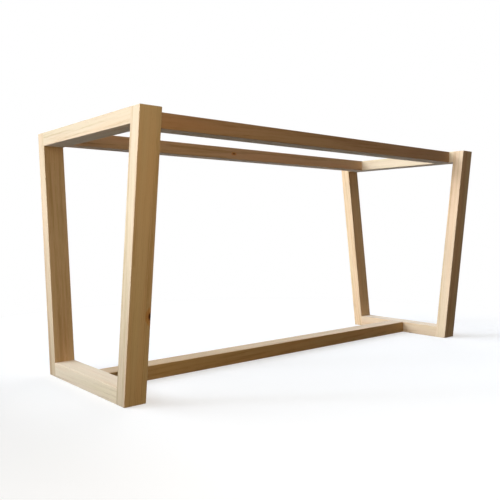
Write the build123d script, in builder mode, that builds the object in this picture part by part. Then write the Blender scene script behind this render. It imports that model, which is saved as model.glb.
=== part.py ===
from build123d import *
from dataclasses import dataclass
from itertools import product
from math import atan2, cos, sin, tan
import os

# A solid wooden table base: two end frames with leaning legs, two long rails under the table top and a
# stretcher along the floor, all sawn from one section of timber.
#
# The legs run from the floor to the seat of the table top. The end rails stand between the legs, flush
# with them on both faces. The long rails stand between the end frames, set in from the legs, and the
# stretcher joins the middles of the foot rails. Every joint is blind: loose tenons sit in square
# mortises, two where a rail meets a leg and one where a rail meets a rail. The base is glued up and then
# sanded, so its rounded arrises run on across the joints.
#
# X runs along the base from left to right, Y from front to back and Z up. The origin is on the floor,
# under the middle of the base. Lengths are in millimetres.

# Overall size
base_height = 710.0  # floor to the seat of the table top
base_length = 1430.0  # over the outer faces of the two end frames
top_width = 600.0  # over the legs at the top
foot_width = 440.0  # over the legs at the floor
rail_inset = 60.0  # from the legs' outer top edges in to the long rails

# Timber
timber_width = 60.0  # the broad side of the section
timber_thickness = 40.0  # the narrow side of the section
arris_radius = 1.5  # the sanded round on every outside edge

# Loose tenons from the end rails into the legs
leg_tenon_thickness = 10.0
leg_tenon_spacing = 28.0  # between the middles of the two in a joint
leg_tenon_shoulder = 8.0  # timber above and below a tenon
leg_wall = 14.0  # timber left behind a mortise in a leg

# Loose tenons from the long rails and the stretcher into the end rails
rail_tenon_thickness = 12.0
rail_tenon_shoulder = 14.0  # timber at each side of a tenon
rail_tenon_depth = 30.0  # into each of the two members

# Mortises, and the finish of the tenons
mortise_end_room = 1.0  # for glue, past each end of a tenon
mortise_side_play = 1.0  # across a tenon's width, to line up the joint
mortise_spacing_wall = 4.5  # timber between mortises that run towards each other
tenon_end_chamfer = 1.5
glue_groove_width = 1.2
glue_groove_depth = 0.6
glue_groove_spacing = 12.0

# Places that follow from the sizes
lean = atan2((top_width - foot_width) / 2, base_height)
leg_span = timber_thickness / cos(lean)  # a leg's level width across the base
frame_middle_x = (base_length - timber_width) / 2
frame_inner_x = base_length / 2 - timber_width
long_rail_middle_y = top_width / 2 - rail_inset - timber_width / 2
top_rail_middle_z = base_height - timber_thickness / 2
foot_rail_middle_z = timber_thickness / 2

sides = {"left": -1, "right": 1}
faces = {"front": -1, "back": 1}
levels = {"top": top_rail_middle_z, "foot": foot_rail_middle_z}
places = {"outer": 1, "inner": -1}


def leg_outer_y(z):
    """How far a leg's outer face is from the middle of the base, at a height."""
    return foot_width / 2 + z * tan(lean)


def leg_inner_y(z):
    """How far a leg's inner face is from the middle of the base, at a height."""
    return leg_outer_y(z) - leg_span


# The tenons' widths, and how far they reach past their shoulders
leg_tenon_width = timber_thickness - 2 * leg_tenon_shoulder
rail_tenon_width = timber_width - 2 * rail_tenon_shoulder
leg_tenon_depth = timber_thickness - leg_wall - mortise_end_room
rail_mortise_edge_y = long_rail_middle_y + (rail_tenon_width + mortise_side_play) / 2
room_in_top_rail = leg_inner_y(top_rail_middle_z) - rail_mortise_edge_y - mortise_spacing_wall
leg_tenon_reach = min(leg_tenon_depth, room_in_top_rail - mortise_end_room)


@dataclass
class LooseTenon:
    """A tenon across the shoulder where one member butts on another.

    The shoulder's plane faces into the member that is butted on, and its x runs across the tenon.
    """

    name: str
    butting: str
    butted: str
    shoulder: Plane
    width: float
    thickness: float
    reach: float  # back into the butting member
    depth: float  # on into the other member


def leg_tenon(side, face, level, place):
    """One of the two tenons from an end rail into a leg, square to the leg's inner face."""
    out = faces[face]
    x = sides[side] * (frame_middle_x + places[place] * leg_tenon_spacing / 2)
    z = levels[level]
    shoulder = Plane(
        origin=(x, out * leg_inner_y(z), z),
        x_dir=(0, out * sin(lean), cos(lean)),
        z_dir=(0, out * cos(lean), -sin(lean)),
    )
    return LooseTenon(
        name=f"tenon_{side}_{face}_{level}_{place}",
        butting=f"{level}_rail_{side}",
        butted=f"leg_{side}_{face}",
        shoulder=shoulder,
        width=leg_tenon_width,
        thickness=leg_tenon_thickness,
        reach=leg_tenon_reach,
        depth=leg_tenon_depth,
    )


def rail_tenon(side, name, level, middle_y):
    """The tenon from an end of a long rail or the stretcher into an end rail."""
    shoulder = Plane(
        origin=(sides[side] * frame_inner_x, middle_y, levels[level]),
        x_dir=(0, 1, 0),
        z_dir=(sides[side], 0, 0),
    )
    return LooseTenon(
        name=f"tenon_{name}_{side}",
        butting=name,
        butted=f"{level}_rail_{side}",
        shoulder=shoulder,
        width=rail_tenon_width,
        thickness=rail_tenon_thickness,
        reach=rail_tenon_depth,
        depth=rail_tenon_depth,
    )


tenons = [leg_tenon(*names) for names in product(sides, faces, levels, places)]
for side in sides:
    for face, out in faces.items():
        tenons.append(rail_tenon(side, f"long_rail_{face}", "top", out * long_rail_middle_y))
    tenons.append(rail_tenon(side, "stretcher", "foot", 0))


def leg_outline(face):
    """The corners of a leg in the plane of its end frame."""
    out = faces[face]
    return [
        (out * leg_inner_y(0), 0),
        (out * leg_outer_y(0), 0),
        (out * leg_outer_y(base_height), base_height),
        (out * leg_inner_y(base_height), base_height),
    ]


def end_rail_outline(level):
    """The corners of an end rail in the plane of its end frame, cut to fit between the legs."""
    low_z = levels[level] - timber_thickness / 2
    high_z = levels[level] + timber_thickness / 2
    return [
        (-leg_inner_y(low_z), low_z),
        (leg_inner_y(low_z), low_z),
        (leg_inner_y(high_z), high_z),
        (-leg_inner_y(high_z), high_z),
    ]


# The whole base as one solid, glued up and sanded. Each member is cut out of it.
with BuildPart() as sanded_base:
    for side in sides:
        with BuildSketch(Plane.YZ.offset(sides[side] * frame_middle_x)):
            for face in faces:
                Polygon(*leg_outline(face), align=None)
            for level in levels:
                Polygon(*end_rail_outline(level), align=None)
        extrude(amount=timber_width / 2, both=True)
    with BuildSketch(Plane.YZ):
        with Locations((0, foot_rail_middle_z)):
            Rectangle(timber_width, timber_thickness)
        with Locations((-long_rail_middle_y, top_rail_middle_z), (long_rail_middle_y, top_rail_middle_z)):
            Rectangle(timber_width, timber_thickness)
    extrude(amount=frame_inner_x, both=True)
    outside_edges = sanded_base.edges().filter_by(lambda edge: not edge.is_interior)
    fillet(outside_edges, radius=arris_radius)


def cut_mortises(member):
    """Cut each mortise that a member has for a loose tenon."""
    for tenon in tenons:
        if member == tenon.butting:
            depth = -(tenon.reach + mortise_end_room)
        elif member == tenon.butted:
            depth = tenon.depth + mortise_end_room
        else:
            continue
        with BuildSketch(tenon.shoulder) as mouth:
            Rectangle(tenon.width + mortise_side_play, tenon.thickness)
        extrude(mouth.sketch, amount=depth, mode=Mode.SUBTRACT)


def write_step(part, name):
    """Label a finished piece and write it to its file."""
    part.label = name
    export_step(part, f"parts/{name}.step")


def make_leg(side, face):
    name = f"leg_{side}_{face}"
    with BuildPart() as leg:
        with BuildSketch(Plane.YZ.offset(sides[side] * frame_middle_x)):
            Polygon(*leg_outline(face), align=None)
        extrude(amount=timber_width / 2, both=True)
        add(sanded_base.part, mode=Mode.INTERSECT)
        cut_mortises(name)
    write_step(leg.part, name)


def make_end_rail(side, level):
    name = f"{level}_rail_{side}"
    with BuildPart() as end_rail:
        with BuildSketch(Plane.YZ.offset(sides[side] * frame_middle_x)):
            Polygon(*end_rail_outline(level), align=None)
        extrude(amount=timber_width / 2, both=True)
        add(sanded_base.part, mode=Mode.INTERSECT)
        cut_mortises(name)
    write_step(end_rail.part, name)


def make_lengthwise_rail(name, middle_y, middle_z):
    """A long rail or the stretcher, from one end frame to the other."""
    with BuildPart() as rail:
        with BuildSketch(Plane.YZ):
            with Locations((middle_y, middle_z)):
                Rectangle(timber_width, timber_thickness)
        extrude(amount=frame_inner_x, both=True)
        add(sanded_base.part, mode=Mode.INTERSECT)
        cut_mortises(name)
    write_step(rail.part, name)


def make_tenon(tenon):
    """A loose tenon with chamfered ends and glue grooves along both cheeks."""
    foot = tenon.shoulder.offset(-tenon.reach)
    length = tenon.reach + tenon.depth
    grooves_per_cheek = int(tenon.width / glue_groove_spacing)
    with BuildPart() as loose_tenon:
        with BuildSketch(foot):
            Rectangle(tenon.width, tenon.thickness)
        extrude(amount=length)
        ends = loose_tenon.faces().filter_by(Axis(foot.origin, foot.z_dir))
        chamfer(ends.edges(), length=tenon_end_chamfer)
        with BuildSketch(foot):
            with GridLocations(glue_groove_spacing, tenon.thickness, grooves_per_cheek, 2):
                Rectangle(glue_groove_width, 2 * glue_groove_depth)
        extrude(amount=length, mode=Mode.SUBTRACT)
    write_step(loose_tenon.part, tenon.name)


os.makedirs("parts", exist_ok=True)
for side, face in product(sides, faces):
    make_leg(side, face)
for side, level in product(sides, levels):
    make_end_rail(side, level)
for face, out in faces.items():
    make_lengthwise_rail(f"long_rail_{face}", out * long_rail_middle_y, top_rail_middle_z)
make_lengthwise_rail("stretcher", 0, foot_rail_middle_z)
for tenon in tenons:
    make_tenon(tenon)
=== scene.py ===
from math import atan2, cos, radians, sin

import bpy
from mathutils import Matrix, Vector


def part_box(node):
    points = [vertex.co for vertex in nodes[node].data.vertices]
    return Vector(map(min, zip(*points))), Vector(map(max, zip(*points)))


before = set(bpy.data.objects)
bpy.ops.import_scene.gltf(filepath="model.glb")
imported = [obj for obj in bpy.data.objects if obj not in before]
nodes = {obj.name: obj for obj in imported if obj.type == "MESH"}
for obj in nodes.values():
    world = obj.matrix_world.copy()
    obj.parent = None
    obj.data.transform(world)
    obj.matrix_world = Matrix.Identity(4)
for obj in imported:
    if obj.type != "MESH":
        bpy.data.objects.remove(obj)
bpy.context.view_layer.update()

# The looks of a solid wooden table base: pale hardwood with a matt oil finish, in daylight from its left.
# X runs along the base from left to right, Y from front to back and Z up. Lengths are in metres.


def display_colour(red, green, blue):
    """A colour written as display values from 0 to 255, as the linear values that shaders take."""
    linear = []
    for value in (red, green, blue):
        share = value / 255
        linear.append(share / 12.92 if share <= 0.04045 else ((share + 0.055) / 1.055) ** 2.4)
    return (*linear, 1.0)


# The photograph's view. Pixels are in its own frame of 500 by 500.
picture_size = 500
camera_place = (-1.4236, -1.5148, 0.4310)
camera_heading = 40.42  # degrees from +Y towards +X
camera_pitch = -0.50  # degrees above the horizon
camera_roll = -0.20  # degrees anticlockwise
focal_length_px = 610.85
optical_axis_px = (250.0, 231.5)
sensor_width_mm = 36.0

# Openings in a dark room, which light the base. Headings are in degrees from -X towards +Y and heights in
# degrees above the horizon. An opening is full out to its core and fades away towards its edge, both in
# degrees from its middle.
openings = {
    "window": dict(heading=27.0, height=12.0, edge=60.0, colour=(0.87, 1.0, 1.12), strength=5.05),
    "overhead": dict(heading=0.0, height=90.0, edge=32.0, colour=(0.80, 1.0, 1.35), strength=0.15),
    "far_end": dict(heading=165.0, height=8.0, edge=52.0, colour=(1.0, 1.0, 1.0), strength=2.7),
}
opening_core = 9.0
white_light = (1.0, 1.0, 1.0, 1.0)

# A little direct daylight from the left
daylight_colour = (0.85, 1.0, 1.23)
daylight_strength = 0.70
daylight_heading = 32.0
daylight_height = 23.0
daylight_spread = 10.0  # degrees across
daylight_distance = 5.0  # the lamp's own place, which makes no difference to its light

# The warm light of the room behind the camera
room_colour = (1.40, 1.03, 0.42)
room_power = 10.0
room_lamp_size = 0.9
room_lamp_place = (-1.4, -2.0, 0.7)
room_lamp_target = (-0.6, -0.2, 0.4)

# A round floor, which shows the shadow near the base and fades to white further out
floor_radius = 9.0
floor_sides = 96
floor_fade_start = 0.9  # from the middle of the base
floor_fade_end = 1.55
floor_glow = 0.5  # what the eye sees of the floor in full shadow
floor_paint = display_colour(198, 194, 192)
floor_bounce = display_colour(64, 54, 42)  # what lights the base from below

# A low dark card, upright at the left and outside the picture
card_place = (-1.62, 0.0, 0.2)
card_height = 0.4
card_length = 1.6
card_felt = display_colour(38, 38, 38)

# The figure of the wood, in cycles a metre along and across a board. Along it everything is drawn out.
bend_scale = (0.9, 7.0, 7.0)
ripple_scale = (5.0, 42.0, 42.0)
ring_change_scale = (0.6, 22.0, 22.0)
band_scale = (1.5, 34.0, 34.0)
streak_scale = (3.0, 120.0, 120.0)
fibre_scale = (22.0, 700.0, 700.0)
pore_scale = (60.0, 1500.0, 1500.0)
fleck_scale = (55.0, 260.0, 260.0)
mottle_scale = (7.0, 36.0, 36.0)
hue_scale = (2.2, 26.0, 26.0)

# How far the grain wanders across the board, to the full swing of its noise
bend_size = 0.012
ripple_size = 0.0012
noise_middle = (0.5, 0.5, 0.5)

# The growth rings, round a pith outside the board
ring_spacing = 0.0046
ring_change_size = 2.6  # rings
pith_distance = 0.075  # where the log starts
pith_turn = 137.5  # degrees round the board from one seed to the next
pith_lean_y = 0.016  # away from the board for each metre up the log
pith_lean_z = 0.007
board_step = 1.7  # up the log from one seed to the next

# How much late wood there is, at shares of the way from one ring to the next
late_wood_shape = ((0.0, 1.0), (0.12, 0.3), (0.40, 0.0), (0.86, 0.45), (1.0, 1.0))

# Pores and ray flecks are where their noise is high, and pores are fewer late in a ring
pore_edges = (0.60, 0.74)
fleck_edges = (0.64, 0.76)
early_wood_edges = (0.60, 0.15)
late_pores = 0.2
pore_strength = 0.40

# What a knot does, by the distance from its middle as a multiple of its size
knot_fall = -0.16  # how fast its pull on the rings falls off
knot_bulge = 0.006  # how far it pushes them, in metres
knot_edges = (1.35, 0.95)
stain_scale = 0.2  # brings the distance into the range of the stain's ramp
no_knot = (0.0, 0.0, 10.0)  # a place well outside every board

# Colours as shares of a board's colour, which carries some painted light and shade
dark_share = (0.78, 0.72, 0.64, 1.0)
even_share = (1.0, 1.0, 1.0, 1.0)
pale_share = (1.10, 1.13, 1.17, 1.0)
red_share = (1.03, 0.96, 0.92, 1.0)
olive_share = (0.98, 1.0, 0.955, 1.0)
pore_share = (0.60, 0.50, 0.42, 1.0)
halo_share = (0.98, 0.78, 0.58, 1.0)
rim_share = (0.66, 0.42, 0.28, 1.0)
end_share = (0.80, 0.78, 0.76, 1.0)
knot_tone = display_colour(96, 70, 54)

# The surface of every board
end_grain_edges = (0.75, 0.95)  # how squarely a face crosses the grain, as a cosine
even_roughness = 0.42
bump_strength = 0.6
sheen = 0.7
sheen_roughness = 0.25

# Each board's seed, which is its place up the log, and its colour in display values. These colours are
# partly the wood's own tone and partly painted light and shade: boards are made paler or darker to stand in
# for how much light falls on them, such as the near foot rail paler and the front long rail darker.
boards = {
    "leg_left_front": (89, (215, 190, 160)),
    "leg_left_back": (13, (213, 184, 152)),
    "leg_right_front": (14, (220, 192, 161)),
    "leg_right_back": (26, (221, 188, 152)),
    "top_rail_left": (93, (213, 188, 158)),
    "top_rail_right": (61, (217, 191, 160)),
    "foot_rail_left": (73, (230, 207, 178)),
    "foot_rail_right": (85, (212, 183, 152)),
    "long_rail_front": (86, (188, 154, 128)),
    "long_rail_back": (54, (226, 187, 155)),
    "stretcher": (44, (203, 168, 128)),
}
first_tenon_seed = 20
tenon_tone = (216, 186, 146)

# Where the photograph shows knots, on the surfaces of two boards. Their sizes are along, across and into
# the board.
knots = {
    "leg_left_front": dict(knot=(-0.6575, -0.2440, 0.2150), knot_size=(0.0075, 0.0045, 0.0045)),
    "long_rail_back": dict(knot=(-0.0540, 0.1800, 0.6891), knot_size=(0.004, 0.0025, 0.002)),
}

# Ways through the base, and the timber's section as in the CAD model
long_way = (1.0, 0.0, 0.0)
cross_way = (0.0, 1.0, 0.0)
up_way = (0.0, 0.0, 1.0)
timber_thickness = 0.040


class Graph:
    """Adds nodes to a shader tree. A value is a number, a vector, a colour or another node's output."""

    def __init__(self, tree):
        self.tree = tree

    def add(self, kind, values=(), output=0, **settings):
        """One output of a new node. Values go to its inputs, and settings are its own attributes."""
        node = self.tree.nodes.new(kind)
        for name, setting in settings.items():
            setattr(node, name, setting)
        for name, value in dict(values).items():
            if isinstance(value, bpy.types.NodeSocket):
                self.tree.links.new(value, node.inputs[name])
            else:
                node.inputs[name].default_value = value
        return node.outputs[output] if node.outputs else node

    def math(self, operation, *values):
        return self.add("ShaderNodeMath", enumerate(values), operation=operation)

    def vector(self, operation, *values, output=0):
        return self.add("ShaderNodeVectorMath", enumerate(values), output, operation=operation)

    def total(self, *terms):
        """The sum of (weight, value) pairs."""
        result = 0.0
        for weight, value in terms:
            result = self.math("MULTIPLY_ADD", value, weight, result)
        return result

    def noise(self, place, scale, detail=2.0, roughness=0.5, output="Fac"):
        """Noise with a scale of its own along each axis."""
        values = {"Scale": 1.0, "Detail": detail, "Roughness": roughness}
        values["Vector"] = self.vector("MULTIPLY", place, scale)
        return self.add("ShaderNodeTexNoise", values, output)

    def step(self, value, low, high, start=0.0, end=1.0):
        """A smooth step of a value from start to end as it goes from low to high."""
        values = {"Value": value, "From Min": low, "From Max": high, "To Min": start, "To Max": end}
        return self.add("ShaderNodeMapRange", values, interpolation_type="SMOOTHSTEP")

    def mix(self, factor, first, second, blend="MIX"):
        values = {0: factor, 6: first, 7: second}
        return self.add("ShaderNodeMix", values, 2, data_type="RGBA", blend_type=blend)

    def ramp(self, value, stops, interpolation="LINEAR"):
        """A colour for a value, from (position, colour) pairs."""
        result = self.add("ShaderNodeValToRGB", {"Fac": value}, "Color")
        ramp = result.node.color_ramp
        ramp.interpolation = interpolation
        while len(ramp.elements) < len(stops):
            ramp.elements.new(1.0)
        for element, (position, colour) in zip(ramp.elements, stops):
            element.position = position
            element.color = colour
        return result

    def glow(self, strength):
        """White light of its own."""
        return self.add("ShaderNodeEmission", {"Color": white_light, "Strength": strength})

    def seen_by_eye(self):
        """1 for rays from the camera, straight or by way of gloss or glass, and 0 for the rest."""
        path = self.add("ShaderNodeLightPath").node.outputs
        gloss = self.math("MAXIMUM", path["Is Glossy Ray"], path["Is Transmission Ray"])
        return self.math("MAXIMUM", path["Is Camera Ray"], gloss)


def clear_graph(owner):
    """The shader tree of a new material or world, with nothing in it."""
    owner.use_nodes = True
    owner.node_tree.nodes.clear()
    return Graph(owner.node_tree)


def make_figure():
    """The wood's figure as a node group, which gives its colour, roughness and relief inside a board."""
    tree = bpy.data.node_groups.new("wood_figure", "ShaderNodeTree")
    sockets = {
        "INPUT": {
            "Place": "NodeSocketVector",
            "Pith": "NodeSocketVector",
            "Knot": "NodeSocketVector",
            "Knot Size": "NodeSocketVector",
            "Tone": "NodeSocketColor",
            "End": "NodeSocketFloat",
        },
        "OUTPUT": {
            "Colour": "NodeSocketColor",
            "Roughness": "NodeSocketFloat",
            "Relief": "NodeSocketFloat",
        },
    }
    for in_out, kinds in sockets.items():
        for name, kind in kinds.items():
            tree.interface.new_socket(name, in_out=in_out, socket_type=kind)
    g = Graph(tree)
    given = g.add("NodeGroupInput").node.outputs
    place = given["Place"]

    def sway(scale, size):
        """A shift of the grain to its sides, which changes along it."""
        noise = g.noise(place, scale, output="Color")
        return g.vector("MULTIPLY", g.vector("SUBTRACT", noise, noise_middle), (0.0, size, size))

    # A knot is an egg-shaped blob, and the rings bend round it
    from_knot = g.vector("DIVIDE", g.vector("SUBTRACT", place, given["Knot"]), given["Knot Size"])
    knot_distance = g.vector("LENGTH", from_knot, output="Value")
    knot_pull = g.math("EXPONENT", g.math("MULTIPLY", g.math("POWER", knot_distance, 2.0), knot_fall))

    # The grain wanders across the board, slowly and in ripples
    wander = g.vector("ADD", sway(bend_scale, bend_size), sway(ripple_scale, ripple_size))
    grain = g.vector("ADD", place, wander)

    # The growth rings lie round the pith. It leans away, so they run out in arches, and the further up the
    # log a board was cut, the straighter they are.
    along = g.add("ShaderNodeSeparateXYZ", {"Vector": grain}, "X")
    lean_y = g.math("MULTIPLY", along, pith_lean_y)
    lean_z = g.math("MULTIPLY", along, pith_lean_z)
    lean = g.add("ShaderNodeCombineXYZ", {"Y": lean_y, "Z": lean_z})
    across = g.vector("SUBTRACT", g.vector("SUBTRACT", grain, given["Pith"]), lean)
    radius = g.vector("LENGTH", g.vector("MULTIPLY", across, (0.0, 1.0, 1.0)), output="Value")
    radius = g.math("MULTIPLY_ADD", knot_pull, knot_bulge, radius)
    ring_change = g.noise(place, ring_change_scale, detail=1.0)
    even_rings = g.math("DIVIDE", radius, ring_spacing)
    rings = g.math("MULTIPLY_ADD", ring_change, ring_change_size, even_rings)
    ring_share = g.math("FRACT", rings)
    late_wood_stops = [(position, (share,) * 4) for position, share in late_wood_shape]
    late_wood = g.ramp(ring_share, late_wood_stops, "EASE")
    early_wood = g.step(ring_share, *early_wood_edges, late_pores, 1.0)

    # Bands, streaks, fibres, pores and ray flecks run along the grain
    bands = g.noise(grain, band_scale)
    streaks = g.noise(grain, streak_scale, detail=3.0, roughness=0.55)
    fibres = g.noise(grain, fibre_scale, roughness=0.6)
    pores = g.math("MULTIPLY", g.step(g.noise(grain, pore_scale, detail=1.0), *pore_edges), early_wood)
    flecks = g.step(g.noise(grain, fleck_scale, detail=1.0), *fleck_edges)
    mottle = g.noise(grain, mottle_scale)
    hue = g.noise(grain, hue_scale)

    # They make the board's colour paler and darker, and redder and greener
    darkness = g.total(
        (0.10, late_wood),
        (0.60, bands),
        (0.40, streaks),
        (0.30, fibres),
        (0.16, mottle),
        (-0.08, flecks),
        (0.08, knot_pull),
    )
    shade = g.ramp(darkness, [(0.40, pale_share), (0.78, even_share), (0.94, dark_share)])
    tint = g.ramp(hue, [(0.30, olive_share), (0.50, even_share), (0.70, red_share)])
    colour = g.mix(1.0, g.mix(1.0, given["Tone"], shade, "MULTIPLY"), tint, "MULTIPLY")
    in_pores = g.mix(1.0, colour, pore_share, "MULTIPLY")
    colour = g.mix(g.math("MULTIPLY", pores, pore_strength), colour, in_pores)
    at_end = g.mix(1.0, colour, end_share, "MULTIPLY")
    colour = g.mix(given["End"], colour, at_end)

    # The knot itself, with a dark rim in a halo of resin-coloured wood
    ragged = g.total((1.0, knot_distance), (1.2, streaks), (0.8, mottle))
    stain = g.ramp(
        g.math("MULTIPLY", ragged, stain_scale),
        [(0.40, rim_share), (0.52, halo_share), (0.70, halo_share), (0.88, even_share)],
    )
    colour = g.mix(1.0, colour, stain, "MULTIPLY")
    core = g.step(g.math("MULTIPLY_ADD", streaks, 0.5, knot_distance), *knot_edges)
    colour = g.mix(core, colour, knot_tone)

    roughness = g.total((0.16, fibres), (0.12, pores), (0.14, given["End"]), (-0.08, flecks), (-0.08, core))
    roughness = g.math("ADD", roughness, even_roughness)

    # The relief is a height in metres, so what is sunk is below zero
    relief = g.total((-0.00010, pores), (0.00005, fibres), (-0.00003, late_wood), (-0.0003, core))
    g.add("NodeGroupOutput", {"Colour": colour, "Roughness": roughness, "Relief": relief})
    return tree


figure = make_figure()


def make_wood(name, middle, grain, across, seed, tone, knot=None, knot_size=(0.01, 0.01, 0.01)):
    """A board's material. grain runs along the board and across runs along its broad side."""
    material = bpy.data.materials.new(name)
    g = clear_graph(material)

    # The board's own axes, with its middle as far up the log as its seed says
    along = Vector(grain).normalized()
    side = Vector(across).normalized()
    board_axes = Matrix((along, side, along.cross(side))).transposed()
    shift = Vector((seed * board_step, 0.0, 0.0))
    mapping = {
        "Vector": g.add("ShaderNodeTexCoord", output="Object"),
        "Location": Vector(middle) - board_axes @ shift,
        "Rotation": board_axes.to_euler(),
    }
    turn = radians(pith_turn) * seed
    knot_place = no_knot
    if knot is not None:
        knot_place = board_axes.transposed() @ (Vector(knot) - Vector(middle)) + shift
    facing = g.vector("DOT_PRODUCT", g.add("ShaderNodeTexCoord", output="Normal"), along, output="Value")

    given = {
        "Place": g.add("ShaderNodeMapping", mapping, vector_type="TEXTURE"),
        "Pith": (0.0, pith_distance * cos(turn), pith_distance * sin(turn)),
        "Knot": knot_place,
        "Knot Size": knot_size,
        "Tone": tone,
        "End": g.step(g.math("ABSOLUTE", facing), *end_grain_edges),
    }
    wood = g.add("ShaderNodeGroup", given, node_tree=figure).node.outputs
    relief = {"Height": wood["Relief"], "Strength": bump_strength, "Distance": 1.0}
    finish = {
        "Base Color": wood["Colour"],
        "Roughness": wood["Roughness"],
        "Normal": g.add("ShaderNodeBump", relief),
        "Specular IOR Level": 0.0,
        "Sheen Weight": sheen,
        "Sheen Roughness": sheen_roughness,
    }
    g.add("ShaderNodeOutputMaterial", {"Surface": g.add("ShaderNodeBsdfPrincipled", finish)})
    return material


def dress(name, grain, across, seed, tone, **knot):
    """Give a board or a tenon a wood of its own."""
    low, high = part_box(name)
    wood = make_wood(name + "_wood", (low + high) / 2, grain, across, seed, display_colour(*tone), **knot)
    nodes[name].material_slots[0].material = wood


def leg_direction(name):
    """The way that a leg leans, from its foot to its top."""
    low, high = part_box(name)
    lean = atan2(high.y - low.y - timber_thickness, high.z - low.z)
    out = -1 if name.endswith("front") else 1
    return (0.0, out * sin(lean), cos(lean))


def dress_boards():
    """The grain runs along each board."""
    for name, (seed, tone) in boards.items():
        if name.startswith("leg"):
            grain, across = leg_direction(name), long_way
        elif "rail_left" in name or "rail_right" in name:
            grain, across = cross_way, long_way
        else:
            grain, across = long_way, cross_way
        dress(name, grain, across, seed, tone, **knots.get(name, {}))


def dress_tenons():
    """The loose tenons, inside their joints."""
    for number, name in enumerate(sorted(set(nodes) - set(boards))):
        if "rail" in name or "stretcher" in name:
            grain, across = long_way, cross_way
        else:
            grain, across = cross_way, up_way
        dress(name, grain, across, first_tenon_seed + number, tenon_tone)


def make_floor():
    """To the eye a pale floor, half of whose paleness no shadow dims. To all else a plain brown one."""
    bpy.ops.mesh.primitive_circle_add(
        vertices=floor_sides, radius=floor_radius, fill_type="NGON", location=(0, 0, 0)
    )
    floor = bpy.context.object
    floor.name = "floor"
    material = bpy.data.materials.new("floor_paint")
    g = clear_graph(material)
    distance = g.vector("LENGTH", g.add("ShaderNodeTexCoord", output="Object"), output="Value")
    fade = g.step(distance, floor_fade_start, floor_fade_end)
    bounce = g.add("ShaderNodeBsdfDiffuse", {"Color": floor_bounce})
    painted = g.add("ShaderNodeBsdfDiffuse", {"Color": floor_paint})
    near = g.add("ShaderNodeAddShader", {0: g.glow(floor_glow), 1: painted})
    pale = g.add("ShaderNodeMixShader", {0: fade, 1: near, 2: g.glow(1.0)})
    surface = g.add("ShaderNodeMixShader", {0: g.seen_by_eye(), 1: bounce, 2: pale})
    g.add("ShaderNodeOutputMaterial", {"Surface": surface})
    floor.data.materials.append(material)


def direction(heading, height):
    """The way to a light: degrees from -X towards +Y, and above the horizon."""
    heading, height = radians(heading), radians(height)
    return Vector((-cos(heading) * cos(height), sin(heading) * cos(height), sin(height)))


def make_opening(g, way, heading, height, edge, colour, strength):
    """The light of one opening in the world's shader."""
    near_middle = g.vector("DOT_PRODUCT", way, direction(heading, height), output="Value")
    share = g.step(near_middle, cos(radians(edge)), cos(radians(opening_core)))
    values = {"Color": (*colour, 1.0), "Strength": g.math("MULTIPLY", share, strength)}
    return g.add("ShaderNodeBackground", values)


def make_world():
    """White to the eye. To all else, the openings in a dark room."""
    world = bpy.data.worlds.new("studio")
    g = clear_graph(world)
    way = g.add("ShaderNodeTexCoord", output="Generated")
    light, *others = [make_opening(g, way, **opening) for opening in openings.values()]
    for other in others:
        light = g.add("ShaderNodeAddShader", {0: light, 1: other})
    white = g.add("ShaderNodeBackground", {"Color": white_light, "Strength": 1.0})
    surface = g.add("ShaderNodeMixShader", {0: g.seen_by_eye(), 1: light, 2: white})
    g.add("ShaderNodeOutputWorld", {"Surface": surface})
    bpy.context.scene.world = world


def make_lamp(kind, name, energy, colour, place, target, **settings):
    """A lamp that stands at a place and points at a target."""
    lamp = bpy.data.lights.new(name, kind)
    lamp.energy = energy
    lamp.color = colour
    for setting, value in settings.items():
        setattr(lamp, setting, value)
    lamp_object = bpy.data.objects.new(name, lamp)
    lamp_object.location = place
    lamp_object.rotation_euler = (Vector(target) - Vector(place)).to_track_quat("-Z", "Y").to_euler()
    lamp_object.visible_camera = False
    bpy.context.scene.collection.objects.link(lamp_object)


def make_lights():
    """The daylight, and the room's lamp."""
    sun_place = direction(daylight_heading, daylight_height) * daylight_distance
    make_lamp(
        "SUN",
        "daylight",
        daylight_strength,
        daylight_colour,
        place=sun_place,
        target=(0.0, 0.0, 0.0),
        angle=radians(daylight_spread),
    )
    make_lamp(
        "AREA",
        "room",
        room_power,
        room_colour,
        place=room_lamp_place,
        target=room_lamp_target,
        size=room_lamp_size,
    )


def make_card():
    """The card dims the light on the near frame's foot."""
    upright = (0.0, radians(90.0), 0.0)
    bpy.ops.mesh.primitive_plane_add(size=1.0, location=card_place, rotation=upright)
    card = bpy.context.object
    card.name = "card"
    card.scale = (card_height, card_length, 1.0)
    material = bpy.data.materials.new("card_felt")
    g = clear_graph(material)
    felt = g.add("ShaderNodeBsdfDiffuse", {"Color": card_felt})
    g.add("ShaderNodeOutputMaterial", {"Surface": felt})
    card.data.materials.append(material)
    card.visible_camera = False
    card.visible_glossy = False


def make_camera():
    """The photograph's camera: where it stands, its heading and its lens."""
    heading, pitch, roll = radians(camera_heading), radians(camera_pitch), radians(camera_roll)
    forward = Vector((sin(heading) * cos(pitch), cos(heading) * cos(pitch), sin(pitch)))
    level = Vector((cos(heading), -sin(heading), 0.0))
    up = level.cross(forward)
    right = level * cos(roll) + up * sin(roll)
    upright = up * cos(roll) - level * sin(roll)
    lens = bpy.data.cameras.new("photograph")
    lens.sensor_fit = "HORIZONTAL"
    lens.sensor_width = sensor_width_mm
    lens.lens = focal_length_px / picture_size * sensor_width_mm
    lens.shift_x = (picture_size / 2 - optical_axis_px[0]) / picture_size
    lens.shift_y = (optical_axis_px[1] - picture_size / 2) / picture_size
    camera = bpy.data.objects.new("photograph", lens)
    camera_axes = Matrix((right, upright, -forward)).transposed()
    camera.matrix_world = Matrix.Translation(camera_place) @ camera_axes.to_4x4()
    bpy.context.scene.collection.objects.link(camera)
    bpy.context.scene.camera = camera


dress_boards()
dress_tenons()
make_floor()
make_world()
make_lights()
make_card()
make_camera()
bpy.context.scene.view_settings.view_transform = "Standard"
